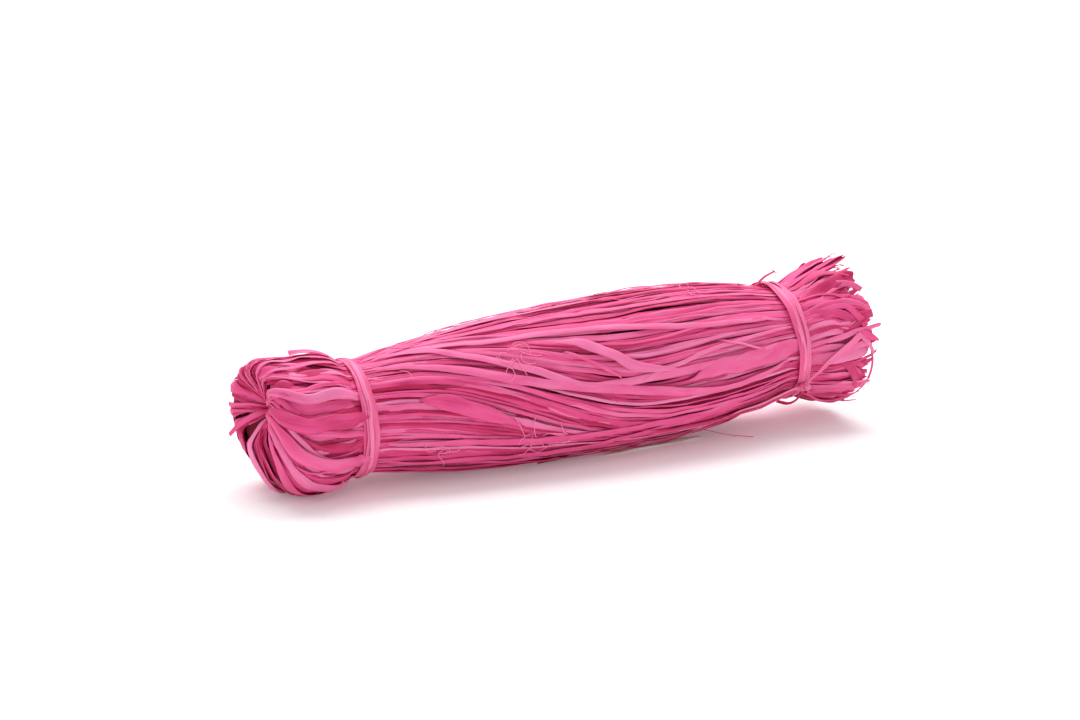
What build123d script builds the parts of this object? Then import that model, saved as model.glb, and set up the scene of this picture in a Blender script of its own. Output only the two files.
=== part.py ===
from build123d import *
import os
from math import asin, cos, degrees, hypot, radians, sin

# A hank of dyed raffia: some two hundred flat palm-leaf strips, folded over at one end, cut off
# at the other, and bound near both ends with a strip of the same raffia.
# +X runs along the hank from the fold to the cut ends, +Z is up, and the hank lies on z = 0.
# The origin is under the middle of its length. All sizes are in millimetres and degrees.

# ---- The bundle ----
hank_length = 266.0  # fold tip to the longest cut ends
bulb_length = 41.5  # fold tip to the middle of the near tie
flare_length = 33.5  # middle of the far tie to the longest cut ends
bulb_radius = 26.4
near_neck_radius = 21.7
belly_radius = 31.0
far_neck_radius = 23.0
flare_radius = 29.0
belly_place = 0.64  # where between the two ties the belly is fullest
belly_fullness = 2.2  # how quickly the bundle swells away from a tie
bulb_fullness = 3.0  # the same, from the near tie to the bulb
flare_fullness = 1.6  # the same, from the far tie to the cut ends
fold_rounding = 20.0  # length over which the folded end closes in
fold_rim_radius = 12.0  # the ring of folds that stands furthest out
fold_rim_height = 35.0  # its middle, above the floor
dimple_radius = 9.0  # mouth of the funnel that the folds leave in the middle
hollow_radius = 7.0  # the same in the middle of the cut ends
flare_axis_height = 36.2  # the cut ends stand clear of the floor
rest_depth = 0.5  # how far the strips flatten where the hank rests
end_stagger = 3.5  # the cut ends aren't level

# ---- The locks: bunches of strips that lie side by side ----
lock_count = 14
lock_gap = 0.3  # between two locks
lock_unevenness = 3.0  # degrees by which a boundary between locks strays
lock_edge_phase = 2.7  # these two space out the unevenness from one lock to the next
lock_end_phase = 4.2
bore_height = 33.0  # a straight level opening is left for the strip that is drawn out
bore_clearance = 1.2  # round that strip

# ---- The ties: a strip wound round each neck and knotted ----
tie_strip_width = 2.6
tie_strip_thickness = 0.8
tie_turns = 3
tie_turn_spacing = 1.7
tie_middle_share = 0.7  # the middle turn is thinner, so that the band has grooves
near_tie_tilt = 1.0  # the bands don't lie quite square to the hank
far_tie_tilt = 5.0
tie_clearance = 0.5  # between a tie and the bundle in it
near_seat_length = 9.0  # length of the neck under each tie
far_seat_length = 12.0
knot_length = 6.0
knot_radius = 2.2
knot_clearance = 0.5  # between a knot and its tie's band
near_knot_angle = 318.0  # round the bundle, from +Y over +Z
far_knot_angle = 214.0

# ---- Loose strips ----
tail_width = 2.6
tail_thickness = 0.5
tail_clearance = 1.6  # between a tail and its knot
long_tail_length = 33.0
long_tail_angle = 218.0
long_tail_lift = 1.7  # the tail's end over the bundle's surface
long_tail_facing = 216.0  # the way its flat side looks
short_tail_reach = 24.0  # how far past the tie its end lies, along X
short_tail_angle = 170.0
short_tail_lift = 1.2
short_tail_facing = 196.0
pull_strip_width = 3.0
pull_strip_thickness = 0.5
pull_strip_length = 193.0  # the straight part, inside the hank
pull_strip_bend = 6.0  # the strip bends down this far inside the fold tip
pull_strip_stub = 6.0  # how far its end stands out past the fold tip
pull_strip_droop = 6.5
undyed_strip_width = 3.0
undyed_strip_thickness = 0.3
undyed_strip_start = (16.0, -11.5)
undyed_strip_end = (62.0, -7.5)
stray_thickness = 0.5
stray_lift = 0.4  # between a stray strip's root and the bundle
crown_strip_width = 3.4
crown_strip_length = 25.0
crown_strip_angle = 84.0
crown_strip_overhang = 2.0  # it starts this far past the bulb's fullest part
stray_end_width = 1.4
stray_end_root = 10.0  # behind the far tie's middle
stray_end_reach = 9.5
stray_end_rise = 5.0

# ---- Places worked out from the sizes ----
tip_x = -(hank_length + pull_strip_stub) / 2 + pull_strip_stub
end_x = tip_x + hank_length
bulb_x = tip_x + fold_rounding
near_tie_x = tip_x + bulb_length
far_tie_x = end_x - flare_length
near_seat_start = near_tie_x - near_seat_length / 2
near_seat_end = near_tie_x + near_seat_length / 2
far_seat_start = far_tie_x - far_seat_length / 2
far_seat_end = far_tie_x + far_seat_length / 2
belly_x = near_tie_x + belly_place * (far_tie_x - near_tie_x)
bore_radius = hypot(pull_strip_width, pull_strip_thickness) / 2 + bore_clearance


def axis_height(x):
    """The bundle's middle line, a parabola through the bulb, the belly and the cut ends."""
    places = [bulb_x, belly_x, end_x]
    heights = [bulb_radius - rest_depth, belly_radius - rest_depth, flare_axis_height]
    total = 0.0
    for i, place in enumerate(places):
        weight = 1.0
        for other in places[:i] + places[i + 1 :]:
            weight *= (x - other) / (place - other)
        total += weight * heights[i]
    return total


def fold_rise(x):
    """How far the closing end of the bundle is centred above the middle line."""
    if x >= bulb_x:
        return 0.0
    return (fold_rim_height - axis_height(x)) * ((bulb_x - x) / fold_rounding) ** 2


def bundle_radius(x):
    """The outside radius of the whole bundle at x."""
    if x < bulb_x:
        closing = ((bulb_x - x) / fold_rounding) ** 2
        return fold_rim_radius + (bulb_radius - fold_rim_radius) * (1 - closing) ** 0.5
    if x < near_seat_start:
        share = (x - bulb_x) / (near_seat_start - bulb_x)
        return bulb_radius - (bulb_radius - near_neck_radius) * share**bulb_fullness
    if x <= near_seat_end:
        return near_neck_radius
    if x < belly_x:
        left = (belly_x - x) / (belly_x - near_seat_end)
        return belly_radius - (belly_radius - near_neck_radius) * left**belly_fullness
    if x < far_seat_start:
        share = (x - belly_x) / (far_seat_start - belly_x)
        return belly_radius - (belly_radius - far_neck_radius) * share**belly_fullness
    if x <= far_seat_end:
        return far_neck_radius
    left = (end_x - x) / (end_x - far_seat_end)
    return flare_radius - (flare_radius - far_neck_radius) * left**flare_fullness


def inner_radius(x):
    """The radius of the opening in the middle: a bore, wider at both ends."""
    if x < bulb_x:
        return bore_radius + (dimple_radius - bore_radius) * ((bulb_x - x) / fold_rounding) ** 2
    if x > far_seat_end:
        return bore_radius + (hollow_radius - bore_radius) * (x - far_seat_end) / (
            end_x - far_seat_end
        )
    return bore_radius


def section_plane(x):
    """The plane across the bundle at x, with its own x along +Y and its y along +Z."""
    return Plane(origin=(x, 0, axis_height(x)), x_dir=(0, 1, 0), z_dir=(1, 0, 0))


def polar(radius, angle, rise=0.0):
    return (radius * cos(radians(angle)), radius * sin(radians(angle)) + rise)


def outward_at(angle):
    """The direction away from the middle line; angle runs from +Y over +Z."""
    return Vector(0, *polar(1, angle))


def bundle_point(x, angle, radius):
    return Vector(x, 0, axis_height(x)) + outward_at(angle) * radius


os.makedirs("parts", exist_ok=True)


# ---- Locks ----
def between(start, stop, shares):
    return [start + share * (stop - start) for share in shares]


fold_turns = between(0, 90, (0, 0.25, 0.5, 0.75, 1))
fold_stations = [bulb_x - fold_rounding * cos(radians(turn)) for turn in fold_turns]
lock_stations = (
    fold_stations
    + between(bulb_x, near_seat_start, (0.45, 0.75, 1))
    + between(near_seat_end, belly_x, (0, 0.12, 0.35, 0.65, 1))
    + between(belly_x, far_seat_start, (0.4, 0.75, 1))
    + between(far_seat_end, end_x, (0, 0.5))
)
lock_edges = []
for i in range(lock_count + 1):
    stray = lock_unevenness * sin(lock_edge_phase * (i % lock_count))
    lock_edges.append(i * 360 / lock_count + stray)

for i in range(lock_count):
    start = lock_edges[i]
    stop = lock_edges[i + 1]
    middle = (start + stop) / 2
    lock_end_x = end_x - end_stagger * (1 + cos(lock_end_phase * i)) / 2
    with BuildPart() as lock:
        for x in lock_stations + [lock_end_x]:
            inner = inner_radius(x)
            outer = bundle_radius(x)
            inner_rise = bore_height - axis_height(x)
            outer_rise = fold_rise(x)
            inner_side = degrees(asin(lock_gap / 2 / inner))
            outer_side = degrees(asin(lock_gap / 2 / outer))
            inner_start = polar(inner, start + inner_side, inner_rise)
            outer_start = polar(outer, start + outer_side, outer_rise)
            inner_stop = polar(inner, stop - inner_side, inner_rise)
            outer_stop = polar(outer, stop - outer_side, outer_rise)
            with BuildSketch(section_plane(x)):
                with BuildLine():
                    Line(inner_start, outer_start)
                    ThreePointArc(outer_start, polar(outer, middle, outer_rise), outer_stop)
                    Line(outer_stop, inner_stop)
                    ThreePointArc(inner_stop, polar(inner, middle, inner_rise), inner_start)
                make_face()
        loft(ruled=True)
        split(bisect_by=Plane.XY, keep=Keep.TOP)
    node = f"lock_{i + 1:02d}"
    lock.part.label = node
    export_step(lock.part, f"parts/{node}.step")


# ---- Ties: three turns side by side make one ridged band, with a small lump for its knot ----
def tie_plane(tie_x, tilt):
    """A lengthwise plane through a tie's centre, with its x along the tie's own axis."""
    along = (cos(radians(tilt)), 0, sin(radians(tilt)))
    return Plane((tie_x, 0, axis_height(tie_x)), x_dir=along, z_dir=(0, -1, 0))


def knot_centre(tie_x, tilt, neck_radius, angle):
    out = neck_radius + tie_clearance + tie_strip_thickness + knot_clearance + knot_radius
    front, up = polar(out, angle)
    plane = tie_plane(tie_x, tilt)
    return plane.origin + Vector(0, front, 0) + plane.y_dir * up


near_knot_centre = knot_centre(near_tie_x, near_tie_tilt, near_neck_radius, near_knot_angle)
far_knot_centre = knot_centre(far_tie_x, far_tie_tilt, far_neck_radius, far_knot_angle)

for node, tie_x, tilt, neck_radius, centre in (
    ("near_tie", near_tie_x, near_tie_tilt, near_neck_radius, near_knot_centre),
    ("far_tie", far_tie_x, far_tie_tilt, far_neck_radius, far_knot_centre),
):
    plane = tie_plane(tie_x, tilt)
    with BuildPart() as tie:
        with BuildSketch(plane):
            for turn in range(tie_turns):
                along = (turn - (tie_turns - 1) / 2) * tie_turn_spacing
                thickness = tie_strip_thickness * (tie_middle_share if turn % 2 else 1)
                with Locations((along, neck_radius + tie_clearance + thickness / 2)):
                    Rectangle(tie_strip_width, thickness)
        revolve(axis=Axis(plane.origin, plane.x_dir))
    tie.part.label = node
    export_step(tie.part, f"parts/{node}.step")

    with BuildPart() as knot:
        with BuildSketch(Plane(centre, x_dir=(1, 0, 0), z_dir=(0, -1, 0))):
            Ellipse(knot_length / 2, knot_radius)
            Rectangle(
                knot_length, knot_radius, align=(Align.CENTER, Align.MAX), mode=Mode.SUBTRACT
            )
        revolve(axis=Axis(centre, (1, 0, 0)))
    knot.part.label = f"{node}_knot"
    export_step(knot.part, f"parts/{node}_knot.step")


# ---- Straight strips: the far tie's two tails, a strip over the bulb and a stray end ----
long_tail_start = far_knot_centre - Vector(knot_length / 2 + tail_clearance, 0, 0)
long_tail_end_x = long_tail_start.X - long_tail_length
long_tail_end = bundle_point(
    long_tail_end_x, long_tail_angle, bundle_radius(long_tail_end_x) + long_tail_lift
)
short_tail_start = far_knot_centre + outward_at(far_knot_angle - 90) * (
    knot_radius + tail_clearance
)
short_tail_end_x = far_tie_x + short_tail_reach
short_tail_end = bundle_point(
    short_tail_end_x, short_tail_angle, bundle_radius(short_tail_end_x) + short_tail_lift
)
crown_radius = bulb_radius + stray_lift + stray_thickness / 2
crown_start_x = bulb_x - crown_strip_overhang
crown_start = bundle_point(crown_start_x, crown_strip_angle, crown_radius)
crown_end = bundle_point(crown_start_x + crown_strip_length, crown_strip_angle, crown_radius)
stray_root_x = far_tie_x - stray_end_root
stray_root_radius = bundle_radius(stray_root_x) + stray_lift + stray_thickness / 2
stray_start = bundle_point(stray_root_x, 90, stray_root_radius)
stray_end = stray_start + Vector(stray_end_reach, 0, stray_end_rise)

long_tail_out = outward_at(long_tail_facing)
short_tail_out = outward_at(short_tail_facing)
crown_out = outward_at(crown_strip_angle)
for node, start, end, out, width, thickness in (
    ("far_tie_tail_long", long_tail_start, long_tail_end, long_tail_out, tail_width, tail_thickness),
    ("far_tie_tail_short", short_tail_start, short_tail_end, short_tail_out, tail_width, tail_thickness),
    ("crown_strip", crown_start, crown_end, crown_out, crown_strip_width, stray_thickness),
    ("stray_end", stray_start, stray_end, outward_at(90), stray_end_width, stray_thickness),
):
    run = end - start
    with BuildPart() as strip:
        with BuildSketch(Plane(start, x_dir=out.cross(run), z_dir=run)):
            Rectangle(width, thickness)
        extrude(amount=run.length)
    strip.part.label = node
    export_step(strip.part, f"parts/{node}.step")


# ---- Undyed strip, flat on the floor under the belly's front ----
with BuildPart() as undyed_strip:
    with BuildSketch(Plane.XY):
        with BuildLine():
            Line(undyed_strip_start, undyed_strip_end)
        trace(line_width=undyed_strip_width)
    extrude(amount=undyed_strip_thickness)
undyed_strip.part.label = "undyed_strip"
export_step(undyed_strip.part, "parts/undyed_strip.step")


# ---- Pull strip: lies in the bore, and its end droops over the fold's rim ----
bore_end = (tip_x + pull_strip_length, 0, bore_height)
bend = (tip_x + pull_strip_bend, 0, bore_height)
stub_end = (tip_x - pull_strip_stub, 0, bore_height - pull_strip_droop)
with BuildPart() as pull_strip:
    with BuildLine():
        FilletPolyline(bore_end, bend, stub_end, radius=pull_strip_bend)
    with BuildSketch(Plane(bore_end, x_dir=(0, 1, 0), z_dir=(-1, 0, 0))):
        Rectangle(pull_strip_width, pull_strip_thickness)
    sweep()
pull_strip.part.label = "pull_strip"
export_step(pull_strip.part, "parts/pull_strip.step")

print("long tail hinge", long_tail_start, long_tail_out.cross(long_tail_end - long_tail_start))
print("short tail hinge", short_tail_start, short_tail_out.cross(short_tail_end - short_tail_start))
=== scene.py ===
from math import cos, pi, radians, sin

import bpy
import numpy as np
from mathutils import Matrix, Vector


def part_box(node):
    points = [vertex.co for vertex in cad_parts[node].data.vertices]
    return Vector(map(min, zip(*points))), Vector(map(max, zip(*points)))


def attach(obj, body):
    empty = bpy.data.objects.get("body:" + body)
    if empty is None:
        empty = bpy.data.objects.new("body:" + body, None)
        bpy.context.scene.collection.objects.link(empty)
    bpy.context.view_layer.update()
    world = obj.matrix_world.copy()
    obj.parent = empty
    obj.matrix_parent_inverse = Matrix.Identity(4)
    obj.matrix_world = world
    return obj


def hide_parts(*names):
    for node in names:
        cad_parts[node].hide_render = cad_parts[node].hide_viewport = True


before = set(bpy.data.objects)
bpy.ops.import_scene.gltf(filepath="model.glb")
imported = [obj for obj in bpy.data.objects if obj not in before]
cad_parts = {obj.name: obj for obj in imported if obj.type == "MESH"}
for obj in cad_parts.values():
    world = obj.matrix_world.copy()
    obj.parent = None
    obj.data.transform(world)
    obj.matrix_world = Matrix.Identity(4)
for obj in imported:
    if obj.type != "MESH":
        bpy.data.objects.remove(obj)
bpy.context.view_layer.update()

# ---- Studio ----
# A hank of dyed raffia lies on a white sweep, seen from its folded end, a little from above.
# One large soft light hangs above and behind it, and the white room fills the rest.
camera_azimuth = radians(-27)
camera_elevation = radians(15.25)
camera_distance = 1.1
camera_lens = 92.3
camera_sensor = 36
aim = Vector((-0.0034, 0.005, 0.0375))
room_brightness = 0.72
softbox_power = 16
softbox_sides = (1.4, 0.9)
softbox_place = (0.15, 0.45, 1.1)
paper_grey = 0.9
paper_glow = 0.12

towards_camera = Vector((
    sin(camera_azimuth) * cos(camera_elevation),
    -cos(camera_azimuth) * cos(camera_elevation),
    sin(camera_elevation),
))
camera = bpy.data.objects.new("camera", bpy.data.cameras.new("camera"))
camera.data.lens = camera_lens
camera.data.sensor_width = camera_sensor
camera.data.clip_end = 20
camera.location = aim + towards_camera * camera_distance
camera.rotation_euler = towards_camera.to_track_quat("Z", "Y").to_euler()
bpy.context.scene.collection.objects.link(camera)
bpy.context.scene.camera = camera
bpy.context.scene.view_settings.view_transform = "Standard"

world = bpy.data.worlds.new("white room")
world.use_nodes = True
room = world.node_tree.nodes["Background"]
room.inputs["Color"].default_value = (1, 1, 1, 1)
room.inputs["Strength"].default_value = room_brightness
bpy.context.scene.world = world

softbox = bpy.data.objects.new("softbox", bpy.data.lights.new("softbox", "AREA"))
softbox.data.shape = "RECTANGLE"
softbox.data.size, softbox.data.size_y = softbox_sides
softbox.data.energy = softbox_power
softbox.location = softbox_place
softbox.rotation_euler = softbox.location.to_track_quat("Z", "Y").to_euler()
bpy.context.scene.collection.objects.link(softbox)

floor_half = 6.0
floor_mesh = bpy.data.meshes.new("floor")
corner_signs = ((-1, -1), (1, -1), (1, 1), (-1, 1))
floor_corners = [(x * floor_half, y * floor_half, 0) for x, y in corner_signs]
floor_mesh.from_pydata(floor_corners, [], [(0, 1, 2, 3)])
floor = bpy.data.objects.new("floor", floor_mesh)
bpy.context.scene.collection.objects.link(floor)
white_paper = bpy.data.materials.new("white paper")
white_paper.use_nodes = True
paper = white_paper.node_tree.nodes["Principled BSDF"]
paper.inputs["Base Color"].default_value = (paper_grey, paper_grey, paper_grey, 1)
paper.inputs["Roughness"].default_value = 0.9
paper.inputs["Specular IOR Level"].default_value = 0.1
paper.inputs["Emission Color"].default_value = (1, 1, 1, 1)
paper.inputs["Emission Strength"].default_value = paper_glow
floor_mesh.materials.append(white_paper)


# ---- Shape of the bundle ----
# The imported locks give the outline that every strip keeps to: the fold's rim at one end, the
# bulb, the two tied necks, the belly and the cut ends. Lengths are in metres, angles in
# degrees round the bundle, from the back (+Y) over the top.
mm = 0.001
lock_names = [name for name in sorted(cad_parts) if name.startswith("lock_")]


def node_points(name):
    return np.array([v.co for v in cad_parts[name].data.vertices])


def middle_of(name):
    low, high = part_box(name)
    return (low + high) / 2


near_tie_middle = middle_of("near_tie")
far_tie_middle = middle_of("far_tie")
near_x = near_tie_middle.x
far_x = far_tie_middle.x
bore_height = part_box("pull_strip")[1].z
lock_points = np.concatenate([node_points(name) for name in lock_names])
tip_x = lock_points[:, 0].min()
end_x = lock_points[:, 0].max()
near_seat = 4.5 * mm  # half the length over which each tie holds its neck straight
far_seat = 6 * mm
bulb_fullness = 3.0  # the higher, the further the swelling keeps its full width
belly_fullness = 2.2
flare_fullness = 1.6


def ring_at(place, reach=0.1 * mm):
    """Where the locks have corners: the place, the bundle's radius and its middle's height."""
    ring = lock_points[abs(lock_points[:, 0] - place) < reach]
    radius = abs(ring[:, 1]).max()
    return place, radius, ring[:, 2].max() - radius


def fullest(start, stop):
    """The ring where the bundle is widest between two places."""
    stretch = lock_points[(lock_points[:, 0] > start) & (lock_points[:, 0] < stop)]
    return ring_at(stretch[np.argmax(abs(stretch[:, 1])), 0])


bulb_x, bulb_radius, bulb_height = fullest(tip_x, near_x - near_seat)
belly_x, belly_radius, belly_height = fullest(near_x + near_seat, far_x - far_seat)
cut_x, cut_radius, cut_height = ring_at(end_x, 5 * mm)
near_neck = ring_at(near_x - near_seat)[1]
far_neck = ring_at(far_x - far_seat)[1]
rim_radius, rim_height = ring_at(tip_x)[1:]
fold_length = bulb_x - tip_x
bundle_height = np.poly1d(
    np.polyfit((bulb_x, belly_x, cut_x), (bulb_height, belly_height, cut_height), 2)
)


def swell(x, neck_x, wide_x, neck, wide, fullness):
    """The radius between a tied neck and the widest place beside it."""
    left = np.clip((wide_x - x) / (wide_x - neck_x), 0, 1)
    return wide - (wide - neck) * left**fullness


def bundle_radius(x):
    return np.select(
        [x < near_x, x < belly_x, x < far_x],
        [
            swell(x, near_x - near_seat, bulb_x, near_neck, bulb_radius, bulb_fullness),
            swell(x, near_x + near_seat, belly_x, near_neck, belly_radius, belly_fullness),
            swell(x, far_x - far_seat, belly_x, far_neck, belly_radius, belly_fullness),
        ],
        swell(x, far_x + far_seat, end_x, far_neck, cut_radius, flare_fullness),
    )


def radial(angle):
    """Unit vectors away from the bundle's middle line."""
    turn = np.radians(angle)
    return np.stack([np.zeros_like(turn), np.cos(turn), np.sin(turn)], -1)


def on_bundle(x, angle, lift):
    """Points at these places on the bundle's outside, raised by lift, and which way is out."""
    x = np.asarray(x, float)
    angle = np.asarray(angle, float) + 0 * x
    step = 0.5 * mm
    slope = (bundle_radius(x + step) - bundle_radius(x - step)) / (2 * step)
    out = radial(angle)
    centre = np.stack([x, 0 * x, bundle_height(x)], -1)
    points = centre + out * (bundle_radius(x) + lift)[:, None]
    out[:, 0] = -slope
    return points, out / np.linalg.norm(out, axis=1)[:, None]


# ---- Flat leaf strips ----
# Raffia is the skin of palm leaf, torn into flat strips that dry curled and creased along
# their length. Each strip here is a line with a width, a curl and a crease at each of its
# points, and the node tree sweeps a flattened ring along it and bends that ring to suit.
strip_thickness = 0.32 * mm
edge_points = 12
crease_sharpness = 1.6

strip_tree = bpy.data.node_groups.new("flat leaf strips", "GeometryNodeTree")
strip_tree.is_modifier = True
strip_face = strip_tree.interface


def strip_socket(name, kind, in_out="INPUT"):
    return strip_face.new_socket(name, in_out=in_out, socket_type="NodeSocket" + kind)


strip_socket("Geometry", "Geometry")
thickness_socket = strip_socket("Strip Thickness", "Float")
edge_socket = strip_socket("Edge Points", "Int")
finish_socket = strip_socket("Finish", "Material")
strip_socket("Geometry", "Geometry", "OUTPUT")


def add_node(tree, kind, inputs=(), **settings):
    """A node of this kind. Its inputs are values or other nodes' sockets, in order or by name."""
    added = tree.nodes.new(kind)
    for name, value in settings.items():
        setattr(added, name, value)
    for key, value in dict(inputs).items():
        if isinstance(value, bpy.types.NodeSocket):
            tree.links.new(value, added.inputs[key])
        else:
            added.inputs[key].default_value = value
    return added


def strip_node(kind, inputs=(), **settings):
    """The first output of a new node in the strips' tree."""
    return add_node(strip_tree, kind, inputs, **settings).outputs[0]


def strip_math(operation, first, second=0.0):
    return strip_node("ShaderNodeMath", {0: first, 1: second}, operation=operation)


def strip_vector(operation, first, second=(0, 0, 0), scale=None):
    inputs = {0: first, 1: second}
    if scale is not None:
        inputs = {0: first, "Scale": scale}
    return strip_node("ShaderNodeVectorMath", inputs, operation=operation)


def kept(name, kind="FLOAT"):
    """A value that each point of a strip's line carries."""
    return add_node(
        strip_tree, "GeometryNodeInputNamedAttribute", {"Name": name}, data_type=kind
    ).outputs["Attribute"]


def keep(geometry, name, value):
    """Lets each point carry a vector."""
    inputs = {"Geometry": geometry, "Name": name, "Value": value}
    return strip_node(
        "GeometryNodeStoreNamedAttribute", inputs, data_type="FLOAT_VECTOR", domain="POINT"
    )


strip_in = strip_tree.nodes.new("NodeGroupInput").outputs
line = strip_node("GeometryNodeMeshToCurve", {0: strip_in["Geometry"]})
line = keep(line, "centre", strip_node("GeometryNodeInputPosition"))
line = keep(line, "along", strip_node("GeometryNodeInputTangent"))
ring_inputs = {"Resolution": strip_in["Edge Points"], "Radius": 1.0}
ring = strip_node("GeometryNodeCurvePrimitiveCircle", ring_inputs)
ring = keep(ring, "rim", strip_node("GeometryNodeInputPosition"))
swept_inputs = {"Curve": line, "Profile Curve": ring, "Fill Caps": True}
swept = strip_node("GeometryNodeCurveToMesh", swept_inputs)

along = kept("along", "FLOAT_VECTOR")
facing = kept("facing", "FLOAT_VECTOR")
side = strip_vector("NORMALIZE", strip_vector("CROSS_PRODUCT", facing, along))
outward = strip_vector("CROSS_PRODUCT", along, side)
rim = add_node(strip_tree, "ShaderNodeSeparateXYZ", {0: kept("rim", "FLOAT_VECTOR")}).outputs
half_width = strip_math("MULTIPLY", kept("width"), 0.5)
across = strip_math("MULTIPLY", rim["X"], half_width)
crown = strip_math("SUBTRACT", 1.0, strip_math("MULTIPLY", rim["X"], rim["X"]))
curl = strip_math("MULTIPLY", strip_math("MULTIPLY", kept("arch"), half_width), crown)
from_crease = strip_math("ABSOLUTE", strip_math("SUBTRACT", rim["X"], kept("crease_place")))
slope = strip_math("MULTIPLY", from_crease, crease_sharpness)
valley = strip_math("MAXIMUM", strip_math("SUBTRACT", 1.0, slope), 0.0)
crease = strip_math("MULTIPLY", strip_math("MULTIPLY", kept("crease"), half_width), valley)
half_skin = strip_math("MULTIPLY", strip_in["Strip Thickness"], 0.5)
skin = strip_math("MULTIPLY", rim["Y"], half_skin)
raised = strip_math("ADD", strip_math("SUBTRACT", curl, crease), skin)
sideways = strip_vector("SCALE", side, scale=across)
offset = strip_vector("ADD", sideways, strip_vector("SCALE", outward, scale=raised))
place = strip_vector("ADD", kept("centre", "FLOAT_VECTOR"), offset)
shaped = strip_node("GeometryNodeSetPosition", {"Geometry": swept, "Position": place})
grain_inputs = {"X": kept("run"), "Y": across, "Z": kept("tone")}
shaped = keep(shaped, "grain", strip_node("ShaderNodeCombineXYZ", grain_inputs))
shaped = strip_node("GeometryNodeSetShadeSmooth", {0: shaped})
shaped = strip_node("GeometryNodeRealizeInstances", {0: shaped})
shaped = strip_node("GeometryNodeSetMaterial", {0: shaped, "Material": strip_in["Finish"]})
strip_tree.links.new(shaped, strip_tree.nodes.new("NodeGroupOutput").inputs[0])

line_values = ("width", "arch", "crease", "crease_place", "run", "tone")
helper_names = ("centre", "along", "rim", "facing", *line_values)
floor_clearance = 0.12 * mm
crinkle = 0.16 * mm  # dried leaf is never quite smooth: how far, and by how many degrees
crinkle_twist = 7
crinkle_reach = 6 * mm
grain_offset = 0.37  # between one strip and the next, so that no two show the same pattern
rng = np.random.default_rng(17)


def uneven(run, size, columns):
    """Random unevenness at these distances along a strip. It changes every few millimetres."""
    places = np.arange(0, run[-1] + 2 * crinkle_reach, crinkle_reach)
    return np.stack(
        [np.interp(run, places, rng.normal(0, size, len(places))) for _ in range(columns)], -1
    )


def strip(points, out, width, arch=0.12, crease=0.0, crease_place=0.0, tone=0.5, twist=0.0):
    """One strip's line, and how the leaf lies at each point of it.

    Out is the way its flat side faces and twist turns that, in degrees. Width is in metres. Arch
    and crease are heights in half widths, the crease's place is from -1 to 1 across the strip,
    and the tone is deep pink at 0 and pale at 1."""
    points = np.array(points, float)
    run = np.linalg.norm(np.diff(points, axis=0), axis=1).cumsum()
    run = np.concatenate([[0], run])
    points[1:-1] += uneven(run, crinkle, 3)[1:-1]
    twist = twist + uneven(run, crinkle_twist, 1)[:, 0]
    out = np.asarray(out, float) + 0 * points
    ahead = np.gradient(points, axis=0)
    ahead /= np.linalg.norm(ahead, axis=1)[:, None] + 1e-12
    sideways = np.cross(out, ahead)
    turn = np.radians(twist)[:, None]
    each = np.zeros(len(points))
    strip.made += 1
    return {
        "points": points,
        "facing": out * np.cos(turn) + sideways * np.sin(turn),
        "width": width + each,
        "arch": arch + each,
        "crease": crease + each,
        "crease_place": crease_place + each,
        "tone": tone + each,
        "run": run + strip.made * grain_offset,
    }


strip.made = 0


def weave(name, strips, finish, body, stands_for=(), thickness=strip_thickness):
    """Sweeps strips into one finished piece that rides on a body and stands for CAD nodes."""
    lines = bpy.data.meshes.new(name)
    points = np.concatenate([s["points"] for s in strips])
    edges = []
    start = 0
    for s in strips:
        edges += [(i, i + 1) for i in range(start, start + len(s["points"]) - 1)]
        start += len(s["points"])
    lines.from_pydata(points.tolist(), edges, [])
    facing = lines.attributes.new("facing", "FLOAT_VECTOR", "POINT")
    facing.data.foreach_set("vector", np.concatenate([s["facing"] for s in strips]).ravel())
    for value in line_values:
        kept_value = lines.attributes.new(value, "FLOAT", "POINT")
        kept_value.data.foreach_set("value", np.concatenate([s[value] for s in strips]))
    guide = bpy.data.objects.new(name, lines)
    bpy.context.scene.collection.objects.link(guide)
    modifier = guide.modifiers.new("strips", "NODES")
    modifier.node_group = strip_tree
    modifier[thickness_socket.identifier] = thickness
    modifier[edge_socket.identifier] = edge_points
    modifier[finish_socket.identifier] = finish
    evaluated = guide.evaluated_get(bpy.context.evaluated_depsgraph_get())
    mesh = bpy.data.meshes.new_from_object(evaluated)
    guide.modifiers.remove(modifier)
    guide.data = mesh
    bpy.data.meshes.remove(lines)
    mesh.name = name
    for helper in helper_names:
        if helper in mesh.attributes:
            mesh.attributes.remove(mesh.attributes[helper])
    spots = np.zeros(len(mesh.vertices) * 3, np.float32)
    mesh.vertices.foreach_get("co", spots)
    spots[2::3] = np.maximum(spots[2::3], floor_clearance)
    mesh.vertices.foreach_set("co", spots)
    mesh.update()
    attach(guide, body)
    if stands_for:
        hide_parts(*stands_for)
    return guide


cloud_scale = (70, 260)  # along and across the strip
rib_scale = (45, 5200)
ripple_scale = (420, 900)
rib_depth = 0.22 * mm


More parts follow.
